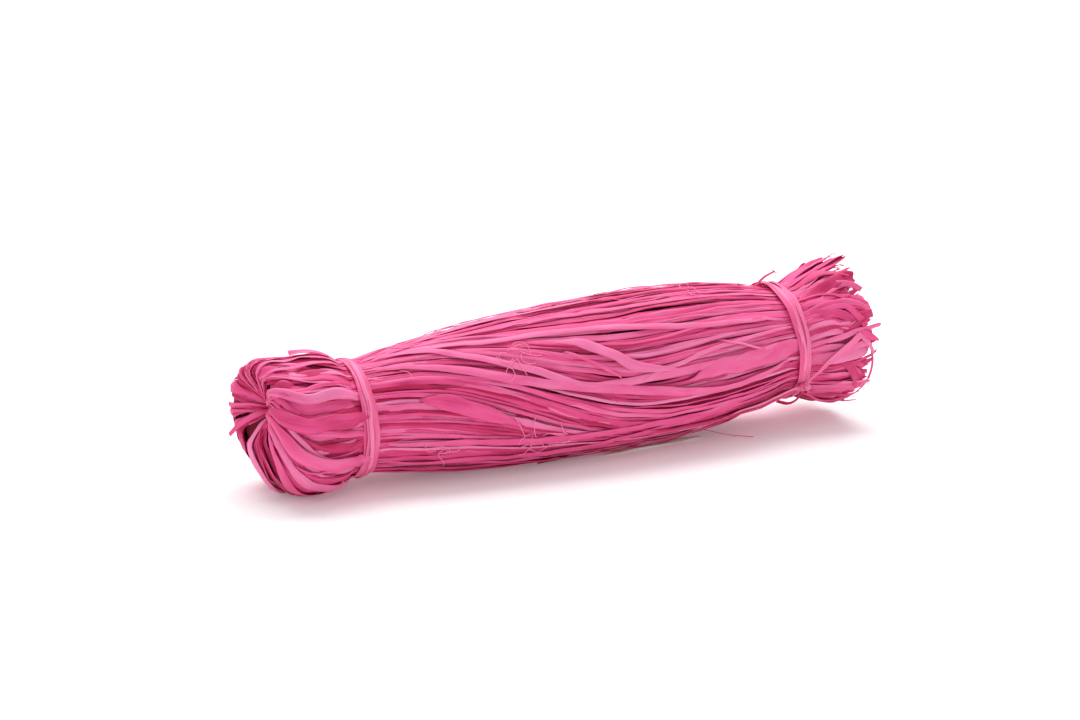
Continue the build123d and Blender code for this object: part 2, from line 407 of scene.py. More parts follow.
def raffia_finish(name, deep, middle, pale, roughness=0.5):
    """Satin leaf skin: each strip has its own tone, with cloudy dye and fine ribs along it."""
    material = bpy.data.materials.new(name)
    material.use_nodes = True
    tree = material.node_tree
    shader = tree.nodes["Principled BSDF"]
    grain = add_node(tree, "ShaderNodeAttribute", attribute_name="grain")
    parts = add_node(tree, "ShaderNodeSeparateXYZ", {0: grain.outputs["Vector"]}).outputs

    def stretched(along_scale, across_scale):
        """Coordinates in which a pattern is drawn out along the strip."""
        inputs = {0: grain.outputs["Vector"], 1: (along_scale, across_scale, 0)}
        return add_node(tree, "ShaderNodeVectorMath", inputs, operation="MULTIPLY").outputs[0]

    def pattern(scale, detail):
        inputs = {"Vector": stretched(*scale), "Scale": 1.0, "Detail": detail}
        return add_node(tree, "ShaderNodeTexNoise", inputs).outputs[0]

    cloud = pattern(cloud_scale, 3.0)
    ribs = pattern(rib_scale, 2.0)
    ripples = pattern(ripple_scale, 2.0)

    def worked_out(operation, *values):
        inputs = dict(enumerate(values))
        return add_node(tree, "ShaderNodeMath", inputs, operation=operation).outputs[0]

    def blend_of(first, first_share, second, second_share):
        weighed = worked_out("MULTIPLY", first, first_share)
        return worked_out("MULTIPLY_ADD", second, second_share, weighed)

    dye = blend_of(parts["Z"], 0.62, blend_of(cloud, 0.55, ribs, 0.45), 0.62)
    ramp = add_node(tree, "ShaderNodeValToRGB", {"Fac": dye})
    stops = ramp.color_ramp.elements
    stops[0].position = 0.3
    stops[0].color = (*deep, 1)
    stops[1].position = 0.92
    stops[1].color = (*pale, 1)
    stops.new(0.6).color = (*middle, 1)
    tree.links.new(ramp.outputs["Color"], shader.inputs["Base Color"])
    shader.inputs["Roughness"].default_value = roughness
    shader.inputs["Specular IOR Level"].default_value = 0.22
    height = blend_of(ribs, 0.75, ripples, 0.35)
    bump_inputs = {"Strength": 0.5, "Distance": rib_depth, "Height": height}
    bump = add_node(tree, "ShaderNodeBump", bump_inputs)
    tree.links.new(bump.outputs["Normal"], shader.inputs["Normal"])
    return material


dyed_raffia = raffia_finish(
    "hot pink raffia", (0.48, 0.008, 0.075), (0.82, 0.082, 0.27), (0.90, 0.235, 0.465)
)


def ease(share):
    """Goes smoothly from 0 to 1."""
    share = np.clip(share, 0, 1)
    return share * share * (3 - 2 * share)


def wander(count):
    """A slow random drift along a strip, between about -1 and 1."""
    share = np.linspace(0, 1, count)
    starts = rng.uniform(0, 2 * pi, 3)
    slow = np.sin(2 * pi * 0.9 * share + starts[0])
    middling = 0.6 * np.sin(2 * pi * 2.2 * share + starts[1])
    quick = 0.3 * np.sin(2 * pi * 4.7 * share + starts[2])
    return (slow + middling + quick) / 1.6


def leaf_width(usual, least=1.1, most=6.0):
    return float(np.clip(rng.lognormal(np.log(usual), 0.36), least, most)) * mm


locks = {name: [] for name in lock_names}


def to_lock(made, angle):
    """Gives a strip to the lock on whose side of the bundle it mostly lies."""
    index = int(angle % 360 / 360 * len(lock_names))
    locks[lock_names[index]].append(made)


# ---- Body of the hank ----
# Between the two ties the strips swell into a belly. Those on the upper front leave the near
# tie close together on top and sweep down across the front; the rest run nearly straight.
body_points = 56
under_tie = 1.5 * mm  # how far past a tie's middle the strips reach
pinch_reach = 26 * mm  # the strips are pressed together this far from a tie
body_share = np.linspace(0, 1, body_points)
body_start = near_x - under_tie
body_end = far_x + under_tie
body_x = body_start + body_share * (body_end - body_start)
tie_pinch = ease(np.minimum(body_x - near_x, far_x - body_x) / pinch_reach)


def lay_body(near_angle, mid_angle, far_angle, settle, width, lift, tone):
    """One strip from tie to tie, by its angles at the near tie, in the middle and at the far tie.

    Settle is the share of the length over which it comes round to its angle in the middle."""
    sweep = (mid_angle - near_angle) * ease(body_share / settle)
    sweep += (far_angle - mid_angle) * ease((body_share - 0.5) / 0.5)
    angle = near_angle + sweep + 1.7 * wander(body_points) * (0.3 + 0.7 * tie_pinch)
    rise = (lift + 0.55 * mm * wander(body_points)) * (0.22 + 0.78 * tie_pinch)
    points, out = on_bundle(body_x, angle, rise)
    made = strip(
        points,
        out,
        width * (0.72 + 0.28 * tie_pinch) * (1 + 0.16 * wander(body_points)),
        arch=rng.uniform(0.06, 0.3) * (1 + 0.5 * wander(body_points)),
        crease=rng.uniform(-0.05, 0.42) * (1 + 0.6 * wander(body_points)),
        crease_place=rng.uniform(-0.55, 0.55),
        tone=tone + 0.1 * wander(body_points),
        twist=rng.normal(0, 7) + 13 * wander(body_points) * tie_pinch,
    )
    to_lock(made, mid_angle)


# The strips that sweep down across the front
fan_top = 84
fan_bottom = 226
for lane in np.linspace(fan_top, fan_bottom, 78):
    lane += rng.normal(0, 1.0)
    lay_body(
        np.interp(lane, (fan_top, 133, 170, fan_bottom), (88, 98, 110, 146)) + rng.normal(0, 1.2),
        lane,
        np.interp(lane, (fan_top, 170, fan_bottom), (fan_top, 164, 240)),
        settle=0.55 + 0.15 * (lane - fan_top) / (fan_bottom - fan_top),
        width=leaf_width(1.65, 0.7),
        lift=rng.uniform(-1.8, 0.5) * mm,
        tone=rng.normal(0.55, 0.24),
    )

# The straighter ones round the underside and the back. The first of them crowd together below
# the sweep, because it pushes them down.
rest_first = 150
rest_last = 448
for lane in np.arange(rest_first, rest_last, 2.2):
    lane += rng.normal(0, 0.8)
    mid_lane = np.interp(lane, (rest_first, 215, rest_last), (217, 223, 444)) + rng.normal(0, 1.0)
    lay_body(
        lane,
        mid_lane,
        np.interp(mid_lane, (217, 444), (231, 444)),
        settle=0.62,
        width=leaf_width(1.8, 0.7),
        lift=rng.uniform(-2.0, 0.1) * mm,
        tone=rng.normal(0.5, 0.24),
    )

# Broad ones underneath, which close the gaps. Their deeper tone is painted shade, for the shade
# between the strips above
for lane in np.arange(0, 360, 5.2):
    lay_body(
        lane,
        lane + rng.normal(0, 3),
        lane,
        settle=0.6,
        width=leaf_width(3.6),
        lift=rng.uniform(-3.4, -2.2) * mm,
        tone=rng.normal(0.3, 0.15),
    )


# ---- Folded end ----
# Past the near tie the strips bulge, turn over a rim and run down into a funnel, where they
# crowd into pleats round the small opening that the hank is used from.
fold_points = 48
turn_over = 15  # degrees short of the tip at which a strip leaves the dome for the funnel
funnel_shift = -1.5 * mm  # the funnel leans a little to the front
funnel_wall = ((0.1, 14.6), (0.4, 13.2), (1.5, 11.6), (3.2, 9.6), (5.0, 7.6), (6.8, 5.8),
               (8.6, 4.6), (12, 4.1), (18, 4.0))  # mm in from the tip, and radius
rim_slant = 6 * mm  # the front of the rim stands this much further back
slant_facing = 172  # where the rim stands back the most
pleat_spacing = 36  # degrees between the bunches that the strips gather into
pleat_gather = 0.62  # the share of the way that each strip moves towards its bunch


def fold_line():
    """The line that a strip follows over the fold: places, radii, and how far each point has
    come, where 1 is the rim."""
    inner_x = np.linspace(near_x + under_tie, bulb_x, 12)
    turns = np.radians(np.linspace(84, turn_over, 14))
    wall_x, wall_r = np.array(funnel_wall).T * mm
    dome_r = rim_radius + (bulb_radius - rim_radius) * np.sin(turns)
    x = np.concatenate([inner_x, bulb_x - fold_length * np.cos(turns), tip_x + wall_x])
    r = np.concatenate([bundle_radius(inner_x), dome_r, wall_r])
    lengths = np.concatenate([[0], np.cumsum(np.hypot(np.diff(x), np.diff(r)))])
    even = np.linspace(0, lengths[-1], fold_points)
    rim_place = lengths[len(inner_x) + len(turns)]
    return np.interp(even, lengths, x), np.interp(even, lengths, r), even / rim_place


fold_x, fold_r, fold_progress = fold_line()
in_funnel = ease((fold_progress - 1) / (fold_progress[-1] - 1) * 1.8)
in_throat = ease((fold_progress - 1) / (fold_progress[-1] - 1) * 2 - 0.9)
fold_closing = np.clip((bulb_x - fold_x) / fold_length, 0, 1) ** 2
fold_closing = np.where(fold_progress > 1, 1.0, fold_closing)
fold_height = bundle_height(np.maximum(fold_x, bulb_x))
fold_height += (rim_height - fold_height) * fold_closing
fold_height += (bore_height - rim_height) * in_throat
fold_middle = np.stack([fold_x, funnel_shift * in_funnel * (1 - in_throat), fold_height], -1)
slant_share = fold_closing * (1 - in_funnel)
fold_pinch = ease((near_x - fold_x) / (14 * mm))
throat_radius = fold_r[-1]
crowding = np.clip(1 - (fold_r - throat_radius) / (bulb_radius - throat_radius), 0, 1)


def fold_out(angle):
    """Which way is out along the fold: outwards on the bulb, backwards in the funnel."""
    slope_x = np.gradient(fold_x)
    slope_r = np.gradient(fold_r)
    steep = np.hypot(slope_x, slope_r)
    out = radial(angle + 0 * fold_x) * (-slope_x / steep)[:, None]
    out[:, 0] = slope_r / steep
    return out


def slant_at(angle):
    """How far back the front of the fold stands, at an angle for each point of the line."""
    return rim_slant * slant_share * (1 + np.cos(np.radians(angle - slant_facing))) / 2


swirl = -55  # degrees by which the lower front strips are dragged round as they run in
swirl_middle = 245
swirl_reach = 42


def lay_fold(angle, width, lift, tone, sway=0.0, pleat=1.0):
    """One strip over the fold. Sway drags its inner end round, pleat turns it on edge there."""
    from_swirl = (angle - swirl_middle + 180) % 360 - 180
    sway = sway + swirl * np.exp(-((from_swirl / swirl_reach) ** 2))
    to_bunch = (angle / pleat_spacing + 0.5) % 1 * pleat_spacing - pleat_spacing / 2
    turned = angle + sway * np.minimum(fold_progress, 1.15)
    turned = turned + 1.8 * wander(fold_points) * fold_pinch
    turned -= pleat_gather * to_bunch * np.clip(fold_progress, 0, 1.2) ** 5
    rise = lift * (0.25 + 0.75 * fold_pinch) * (1 - 0.4 * crowding)
    rise = rise + 0.45 * mm * wander(fold_points) * fold_pinch
    out = fold_out(turned)
    points = fold_middle + radial(turned) * fold_r[:, None] + out * rise[:, None]
    points[:, 0] += slant_at(turned)
    crowded = ease(crowding * 1.15)
    made = strip(
        points,
        out,
        width * (1 - 0.62 * crowded) * (0.74 + 0.26 * fold_pinch) * (1 + 0.1 * wander(fold_points)),
        arch=rng.uniform(0.1, 0.4) + 0.25 * crowded,
        crease=rng.uniform(-0.1, 0.5) + rng.uniform(-0.3, 0.6) * crowded,
        crease_place=rng.uniform(-0.5, 0.5),
        # deeper towards the opening: painted shade in the funnel
        tone=tone + 0.08 * wander(fold_points) - 0.2 * crowding,
        twist=pleat * rng.normal(0, 36) * crowded + rng.normal(0, 7),
    )
    to_lock(made, angle)


# The outer layer, then narrow strips among it
for angle in np.arange(0, 360, 8.8):
    lay_fold(
        angle + rng.normal(0, 1.8),
        width=leaf_width(4.4, 3.0, 7.2),
        lift=rng.uniform(-1.2, 0.4) * mm,
        tone=rng.normal(0.5, 0.2),
        sway=rng.normal(0, 9),
    )
for angle in np.arange(3, 360, 8.1):
    lay_fold(
        angle + rng.normal(0, 2.5),
        width=leaf_width(1.9, 0.9),
        lift=rng.uniform(-0.6, 0.9) * mm,
        tone=rng.normal(0.58, 0.22),
        sway=rng.normal(0, 14),
    )
# A few broad ones that lie flat on top of the rest: angle, width and lift in mm, tone
for angle, width, lift, tone in (
    (143, 4.4, 1.5, 0.8), (164, 6.2, 1.3, 0.3), (211, 6.4, 1.7, 0.6),
    (250, 4.6, 1.2, 0.75), (96, 4.2, 1.2, 0.8), (321, 7.2, 0.3, 0.5),
):
    lay_fold(angle, width * mm, lift * mm, tone, pleat=0.15)
# And the broad ones underneath, which close the gaps, in a deep tone that is painted shade
for angle in np.arange(0, 360, 8):
    lay_fold(
        angle,
        width=leaf_width(7.0, 5.5, 8.5),
        lift=-1.7 * mm,
        tone=0.25,
        pleat=0.2,
    )


# ---- Cut end ----
# Beyond the far tie the strips spread like a brush and stop, torn and uneven. They lean round
# the bundle on the way, and the ones inside fill the end.
cut_points = 20
cut_share = np.linspace(0, 1, cut_points)
cut_past_end = 3 * mm  # the longest strips end this far past the locks
tear_widths = [0.08, 0.2, 0.4, 0.8]  # how much of its width a strip has lost at its torn end


def lay_cut(angle, reach, width, depth, lean, tone, hook=0.0, bend=0.0):
    """One strip past the far tie. Depth is how far inside the bundle its end lies, from 0 to 1.

    Lean carries it round the bundle the one way and bend carries only its end the other way,
    in degrees. Hook turns its end inwards."""
    start = far_x - under_tie
    stop = min(start + reach, end_x + cut_past_end)
    x = start + cut_share * (stop - start)
    turned = angle - lean * cut_share + bend * cut_share**3
    turned += 1.5 * wander(cut_points) * cut_share
    points, out = on_bundle(np.minimum(x, end_x), turned, 0 * x)
    points[:, 0] = x
    radius = bundle_radius(np.minimum(x, end_x))
    inside = depth * radius * ease(cut_share * 1.2) + (0.9 - 2.1 * cut_share) * mm
    inside = inside + hook * cut_share**6 - 0.6 * mm * wander(cut_points) * cut_share
    points -= radial(turned) * inside[:, None]
    torn = 1 - rng.choice(tear_widths) * ease((cut_share - 0.85) / 0.15)
    made = strip(
        points,
        out,
        width * (0.74 + 0.26 * ease(cut_share * 2)) * torn,
        arch=rng.uniform(0.05, 0.3),
        crease=rng.uniform(-0.1, 0.5) * (1 + 0.5 * wander(cut_points)),
        crease_place=rng.uniform(-0.5, 0.5),
        tone=tone + 0.1 * wander(cut_points),
        twist=rng.normal(0, 8) + rng.normal(0, 22) * cut_share,
    )
    to_lock(made, angle)


# The outer strips. On the upper front some of their ends are bent round.
for angle in np.arange(0, 360, 2.7):
    lay_cut(
        angle + rng.normal(0, 1.2),
        reach=end_x - far_x + rng.uniform(-5.5, 2.0) * mm,
        width=leaf_width(2.9, 1.2, 5.5),
        depth=rng.uniform(-0.02, 0.05),
        lean=rng.normal(13, 6),
        tone=rng.normal(0.55, 0.19),
        hook=rng.choice([0, 1, 3, 6]) * mm,
        bend=rng.choice([0, 0, 20, 45]) if 100 < angle < 200 else 0,
    )
# The ones inside, in rings that hold fewer towards the middle: depth, degrees between strips
for ring_depth, spacing in (
    (0.1, 4), (0.2, 4.6), (0.31, 5.4), (0.42, 6.6), (0.53, 8.2), (0.64, 11), (0.75, 17)
):
    for angle in np.arange(0, 360, spacing):
        lay_cut(
            angle + rng.normal(0, 3),
            reach=end_x - far_x + rng.uniform(-8, 0.5) * mm,
            width=leaf_width(3.4, 1.8, 5.5),
            depth=ring_depth + rng.uniform(-0.05, 0.05),
            lean=rng.normal(10, 8),
            # a deeper tone than the outer strips: painted shade inside the brush
            tone=rng.normal(0.42, 0.17),
            hook=rng.uniform(-1.5, 1.5) * mm,
        )


# ---- Loose strips on the outside ----
# A few strips lie over the rest, some of them broad pieces of leaf and some drawn across from
# one lock to another. Each runs through a handful of places, in millimetres along and degrees
# round, and then come its width and its lift in millimetres and its tone.
end_dip = 0.9  # millimetres by which the ends sink in among the other strips


def smooth_through(places, values):
    """A smooth curve through these values, as a function of the place."""
    slopes = np.gradient(values, places)

    def value_at(x):
        i = np.clip(np.searchsorted(places, x) - 1, 0, len(places) - 2)
        span = places[i + 1] - places[i]
        t = np.clip((x - places[i]) / span, 0, 1)
        rise = values[i] + (3 * t**2 - 2 * t**3) * (values[i + 1] - values[i])
        bend = (t**3 - 2 * t**2 + t) * slopes[i] + (t**3 - t**2) * slopes[i + 1]
        return rise + bend * span

    return value_at


def through(places, count):
    """A smooth line through these places along and round the bundle."""
    along, around = np.array(places, float).T
    corners = np.linspace(0, 1, len(places))
    share = np.linspace(0, 1, count)
    return smooth_through(corners, along * mm)(share), smooth_through(corners, around)(share)


def lay_over(places, width, lift, tone, crease=0.1, ends=(0.5, 0.5), twist=0.0):
    """A strip laid over the bundle. Ends are the shares of its width at its start and stop."""
    count = 10 + 8 * len(places)
    x, angle = through(places, count)
    share = np.linspace(0, 1, count)
    sunk = ease(share / 0.08) * ease((1 - share) / 0.08)
    clear_of_ties = ease(np.minimum(abs(x - near_x), abs(x - far_x)) / (14 * mm))
    rise = lift * sunk * (0.4 + 0.6 * clear_of_ties) - end_dip * (1 - sunk)
    points, out = on_bundle(x, angle, rise * mm)
    taper = ends[0] + (1 - ends[0]) * ease(share / 0.3)
    taper = taper * (ends[1] + (1 - ends[1]) * ease((1 - share) / 0.3))
    made = strip(
        points,
        out,
        width * mm * taper * (1 + 0.07 * wander(count)),
        arch=0.16,
        crease=crease * (1 + 0.5 * wander(count)),
        crease_place=rng.uniform(-0.5, 0.5),
        tone=tone + 0.06 * wander(count),
        twist=twist * wander(count) + rng.normal(0, 4),
    )
    to_lock(made, float(np.mean(angle)))


# Strips that follow the sweep from tie to tie
lay_over(
    ((-86, 96), (-61, 111), (-47, 127), (-23, 149), (-1, 168), (22, 170), (71, 168), (104, 163)),
    3.3, 1.0, 0.74,
)
lay_over(
    ((-86, 110), (-55, 135), (-30, 154), (-11, 165), (22, 178), (63, 190), (104, 182)),
    3.9, 0.9, 0.66,
)
lay_over(((-86, 99), (-65, 104), (-36, 118), (9, 127), (53, 139), (104, 141)), 2.6, 0.9, 0.8)
lay_over(((-86, 93), (-39, 87), (-9, 84), (59, 85), (104, 86)), 3.0, 0.7, 0.8)
lay_over(((-86, 91), (-50, 101), (-20, 106), (30, 112), (104, 112)), 2.2, 0.8, 0.6)
# Two broad flat pieces of leaf
lay_over(
    ((-68, 157), (-57, 164), (-45, 175), (-26, 193)), 6.2, 0.8, 0.42,
    ends=(0.35, 0.12), crease=0.03,
)
lay_over(
    ((44, 179), (56, 173), (71, 173), (90, 171), (104, 170)), 7.6, 0.9, 0.6,
    ends=(0.1, 0.6), crease=0.04,
)
# Short ones drawn across the others
lay_over(((-13, 131), (0, 138), (11, 149), (23, 162), (46, 171)), 4.3, 1.7, 0.8, ends=(0.15, 0.1))
lay_over(((-9, 140), (2, 152), (15, 168)), 1.5, 1.6, 0.6, ends=(0.3, 0.3))
lay_over(((60, 152), (72, 160), (88, 171)), 1.0, 1.5, 0.85, ends=(0.4, 0.4))
lay_over(((20, 172), (35, 166), (62, 157), (104, 150)), 1.6, 1.3, 0.8, ends=(0.4, 0.6))
# Two low on the front
lay_over(((-86, 222), (-41, 221), (-8, 223), (26, 217), (62, 212), (104, 214)), 3.0, 0.7, 0.5)
lay_over(((-86, 196), (-50, 200), (-12, 208), (40, 209), (104, 205)), 3.2, 0.6, 0.55)
# Four that stand off the top
lay_over(((-72, 82), (-45, 87), (-10, 93), (30, 96)), 2.0, 1.0, 0.85, ends=(0.4, 0.2))
lay_over(((-60, 74), (-20, 80), (25, 85), (62, 90)), 1.8, 1.1, 0.7, ends=(0.3, 0.3))
lay_over(((18, 76), (50, 84), (88, 93)), 2.2, 1.0, 0.5, ends=(0.2, 0.4))
lay_over(((-50, 68), (-25, 77), (4, 82)), 1.5, 1.1, 0.4, ends=(0.3, 0.2))

for name in lock_names:
    weave(name + "_strips", locks[name], dyed_raffia, "hank", [name])


# ---- Inner strips ----
# The folded-back legs fill the middle of the hank. They only show through the gaps, where they lie
# in shade, so they are one ribbed sleeve round the opening that the pull strip slides in. Its very
# dark pink is painted shade.
sleeve_depth = 3.9 * mm  # under the outside of the bundle
fold_depth = 2.6 * mm  # less where the strips crowd together
sleeve_bore = 3.6 * mm
sleeve_end = end_x - 9 * mm
rib_count = 120
rib_height = 0.35 * mm
# These colours are painted shade: the inner strips are dyed like the rest, but darkened here for
# the shade in the gaps
inner_raffia_painted_shade = raffia_finish(
    "pink raffia in painted shade", (0.13, 0.004, 0.016), (0.24, 0.007, 0.035), (0.36, 0.015, 0.07)
)
sleeve_turn = np.linspace(0, 2 * pi, rib_count * 2, endpoint=False)


def sleeve_ring(x, radius, middle, height):
    return np.stack([
        x + 0 * sleeve_turn,
        middle + radius * np.cos(sleeve_turn),
        height + radius * np.sin(sleeve_turn),
    ], -1)


def sleeve_rings():
    """The sleeve's rings: along its outside, over the fold, and back along the opening."""
    ribs = rib_height * np.cos(rib_count * sleeve_turn)
    rings = []
    for x in np.linspace(sleeve_end, bulb_x + 2 * mm, 50):
        rings.append(sleeve_ring(x, bundle_radius(x) - sleeve_depth + ribs, 0, bundle_height(x)))
    out = fold_out(0.0)
    depth = sleeve_depth + (fold_depth - sleeve_depth) * ease(crowding * 2.2)
    for i in np.flatnonzero(fold_x <= bulb_x):
        x = fold_x[i] - out[i, 0] * depth[i]
        radius = fold_r[i] - out[i, 1] * depth[i]
        slanted = x + slant_at(np.degrees(sleeve_turn)[:, None] + 0 * fold_x)[:, i]
        rings.append(
            sleeve_ring(slanted, radius + 0.5 * ribs, fold_middle[i, 1], fold_middle[i, 2])
        )
    for x in np.linspace(bulb_x + 6 * mm, sleeve_end, 6):
        rings.append(sleeve_ring(x, sleeve_bore, 0, bore_height))
    return rings


rings = sleeve_rings()
around = len(sleeve_turn)
sleeve_faces = []
for i in range(len(rings)):
    below = (i + 1) % len(rings) * around
    for j in range(around):
        beside = (j + 1) % around
        sleeve_faces.append((i * around + j, below + j, below + beside, i * around + beside))
sleeve_mesh = bpy.data.meshes.new("inner_strips")
sleeve_mesh.from_pydata(np.concatenate(rings).tolist(), [], sleeve_faces)
sleeve_mesh.materials.append(inner_raffia_painted_shade)
grain = sleeve_mesh.attributes.new("grain", "FLOAT_VECTOR", "POINT")
grain_values = np.concatenate([
    np.stack([ring[:, 0], sleeve_turn * 0.02, 0 * sleeve_turn + 0.5], -1) for ring in rings
])
grain.data.foreach_set("vector", grain_values.ravel())
inner_strips = bpy.data.objects.new("inner_strips", sleeve_mesh)
bpy.context.scene.collection.objects.link(inner_strips)
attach(inner_strips, "hank")


# ---- Ties ----
# Each neck is bound with narrow strips of paler raffia, knotted once. Here each tie is five
# closed turns of flat strip, which crowd half over each other where they were pulled tight and
# part a little further round.
tie_raffia = raffia_finish(
    "pale pink raffia", (0.66, 0.035, 0.16), (0.87, 0.125, 0.31), (0.93, 0.25, 0.47), 0.45
)


turn_points = 91
tie_sink = 0.35 * mm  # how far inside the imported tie's outline the turns run
turn_step = 0.16  # mm from one turn out to the next


def lay_tie(name, turns, tightest, closed, tilt):
    """The turns of one tie: mm beside its middle at both ends, width in mm, and tone.

    Tightest is the angle at which the turns crowd together, closed the share of its breadth that
    the tie keeps there, and tilt leans it over, in degrees."""
    middle = middle_of(name)
    low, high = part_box(name)
    neck = (high.y - low.y) / 2 - tie_sink
    share = np.linspace(0, 1, turn_points)
    made = []
    for layer, (starts, crosses, width, tone) in enumerate(turns):
        angle = tightest + 360 * share
        parted = closed + (1 - closed) * (1 - np.cos(2 * pi * share)) / 2
        beside = starts + (crosses - starts) * ease(share * 1.6 - 0.3)
        x = middle.x + beside * mm * parted + 0.2 * mm * np.sin(4 * pi * share + 2 * layer)
        radius = neck + (turn_step * layer - 0.1 + 0.12 * np.sin(2 * pi * share + layer)) * mm
        lean = np.sin(np.radians(angle)) * radius * np.tan(radians(tilt))
        points = radial(angle) * radius[:, None] + np.array([0, 0, middle.z])
        points[:, 0] = x - lean
        made.append(strip(
            points,
            radial(angle),
            width * mm * (1 + 0.14 * np.sin(2 * pi * share * 1.5 + 2 * layer)),
            arch=0.08,
            crease=0.35,
            crease_place=0.4 - 0.2 * layer,
            tone=tone + 0.1 * wander(turn_points),
            twist=12 * np.sin(4 * pi * share + 2 * layer),
        ))
    return made


near_turns = lay_tie(
    "near_tie",
    (
        (-3.0, 1.0, 2.0, 0.35),
        (2.9, 2.4, 2.3, 0.55),
        (-1.3, -2.9, 2.2, 0.75),
        (1.2, -1.4, 1.9, 0.5),
        (0.1, 2.2, 1.7, 0.9),
    ),
    tightest=80, closed=0.42, tilt=1.0,
)
far_turns = lay_tie(
    "far_tie",
    (
        (-3.9, -1.0, 2.4, 0.5),
        (3.8, 2.0, 2.9, 0.62),
        (-1.1, 3.8, 2.3, 0.78),
        (1.5, -3.6, 2.2, 0.42),
        (0.2, -1.6, 1.9, 0.9),
    ),
    tightest=214, closed=0.38, tilt=5.0,
)
weave("near_tie_strip", near_turns, tie_raffia, "hank", ["near_tie"])
weave("far_tie_strip", far_turns, tie_raffia, "hank", ["far_tie"])


# ---- Knots ----
# The tie's two ends are knotted once on its outside. The strip is squeezed to a narrow cord
# where it passes over and under itself.
knot_points = 61
knot_width = 2.3 * mm
knot_stretch = (0.9, 0.62, 0.85)  # of its loops along, across and out from the bundle


def lay_knot(name, scale):
    """A small overhand knot, lying flat against the bundle. Scale sets its size."""
    middle = np.array(middle_of(name))
    out = middle - np.array([middle[0], 0, float(bundle_height(middle[0]))])
    out /= np.linalg.norm(out)
    ahead = np.array([1.0, 0, 0])
    up = np.cross(out, ahead)
    turn = np.linspace(0.1, 2 * pi - 0.1, knot_points)
    lobe_ahead = np.sin(turn) + 2 * np.sin(2 * turn)
    lobe_up = np.cos(turn) - 2 * np.cos(2 * turn)
    over = -np.sin(3 * turn)
    points = middle + scale * (
        lobe_ahead[:, None] * ahead * knot_stretch[0]
        + lobe_up[:, None] * up * knot_stretch[1]
        + over[:, None] * out * knot_stretch[2]
    )
    facing = (points - middle) + out * 0.5 * mm
    facing /= np.linalg.norm(facing, axis=1)[:, None]
    return strip(points, facing, knot_width, arch=0.35, crease=0.3, tone=0.7)


near_knot = [lay_knot("near_tie_knot", 0.8 * mm)]
far_knot = [lay_knot("far_tie_knot", 0.95 * mm)]
weave("near_knot", near_knot, tie_raffia, "hank", ["near_tie_knot"])
weave("far_knot", far_knot, tie_raffia, "hank", ["far_tie_knot"])


# ---- Tails of the far knot ----
# The tie's ends stick out past the knot. The long one lies along the belly, folded in half
# along its length, and ends torn; the short one opens out flat towards the cut ends.
def ends_of(name):
    """The middles of a straight node's two ends, the one nearer the fold first."""
    points = node_points(name)
    near_end = points[:, 0] < points[:, 0].mean()
    return points[near_end].mean(0), points[~near_end].mean(0)


def straight(start, stop, count, bow=(0, 0, 0)):
    """A line of points from start to stop, bowed towards one side in the middle."""
    share = np.linspace(0, 1, count)[:, None]
    return start + share * (stop - start) + np.sin(pi * share) * np.array(bow)


def away(points):
    """Which way is out from the bundle's middle line at these points."""
    out = points - np.stack([points[:, 0], 0 * points[:, 0], bundle_height(points[:, 0])], -1)
    return out / np.linalg.norm(out, axis=1)[:, None]


tail_points = 26
tail_rise = 1.1 * mm  # over the strips that it lies on
tail_share = np.linspace(0, 1, tail_points)
long_free, long_root = ends_of("far_tie_tail_long")
long_line = straight(long_root, long_free, tail_points, (0, -0.4 * mm, 0.3 * mm))
long_line[:, 2] += 0.25 * mm * np.sin(9 * tail_share)
long_line += away(long_line) * tail_rise * ease(tail_share / 0.3)[:, None]
long_tail = [
    strip(
        long_line,
        away(long_line),
        (1.9 + 1.2 * ease(tail_share / 0.35)) * mm * (1 - 0.35 * ease((tail_share - 0.93) / 0.07)),
        arch=0.15,
        crease=0.75,
        crease_place=0.25,
        tone=0.9 - 0.6 * ease((tail_share - 0.88) / 0.1),
        twist=-14 + 18 * tail_share,
    ),
    strip(  # its other half, folded under
        long_line - away(long_line) * 0.3 * mm + np.array([0, 0, -1.1 * mm]),
        away(long_line),
        1.3 * mm * (1 - 0.5 * ease((tail_share - 0.8) / 0.2)),
        arch=0.3,
        # its deep tone is painted shade, for the shadow under the upper half
        tone=0.1,
        twist=16,
    ),
]
weave("long_tail", long_tail, tie_raffia, "tail_long", ["far_tie_tail_long"])

short_root, short_free = ends_of("far_tie_tail_short")
short_line = straight(short_root, short_free, tail_points, (0, -0.5 * mm, 0))
short_tail = [strip(
    short_line,
    away(short_line),
    (1.1 + 1.9 * ease(tail_share / 0.8)) * mm * (1 - 0.3 * ease((tail_share - 0.94) / 0.06)),
    arch=0.3 - 0.2 * tail_share,
    crease=0.5 - 0.4 * tail_share,
    tone=0.62 + 0.08 * tail_share,
    twist=18 - 26 * tail_share,
)]
weave("short_tail", short_tail, tie_raffia, "tail_short", ["far_tie_tail_short"])

knot_middle = np.array(middle_of("far_tie_knot"))
stub_points = 9
long_stub = straight(knot_middle, long_root + (long_root - long_free) * -0.02, stub_points)
short_stub = straight(knot_middle, short_root + (short_free - short_root) * 0.02, stub_points)
stubs = [
    strip(long_stub, away(long_stub), 1.9 * mm, arch=0.25, crease=0.6, crease_place=0.25, tone=0.7,
          twist=-14),
    strip(short_stub, away(short_stub), 1.1 * mm, arch=0.3, crease=0.5, tone=0.62, twist=18),
]
weave("knot_ends", stubs, tie_raffia, "hank")


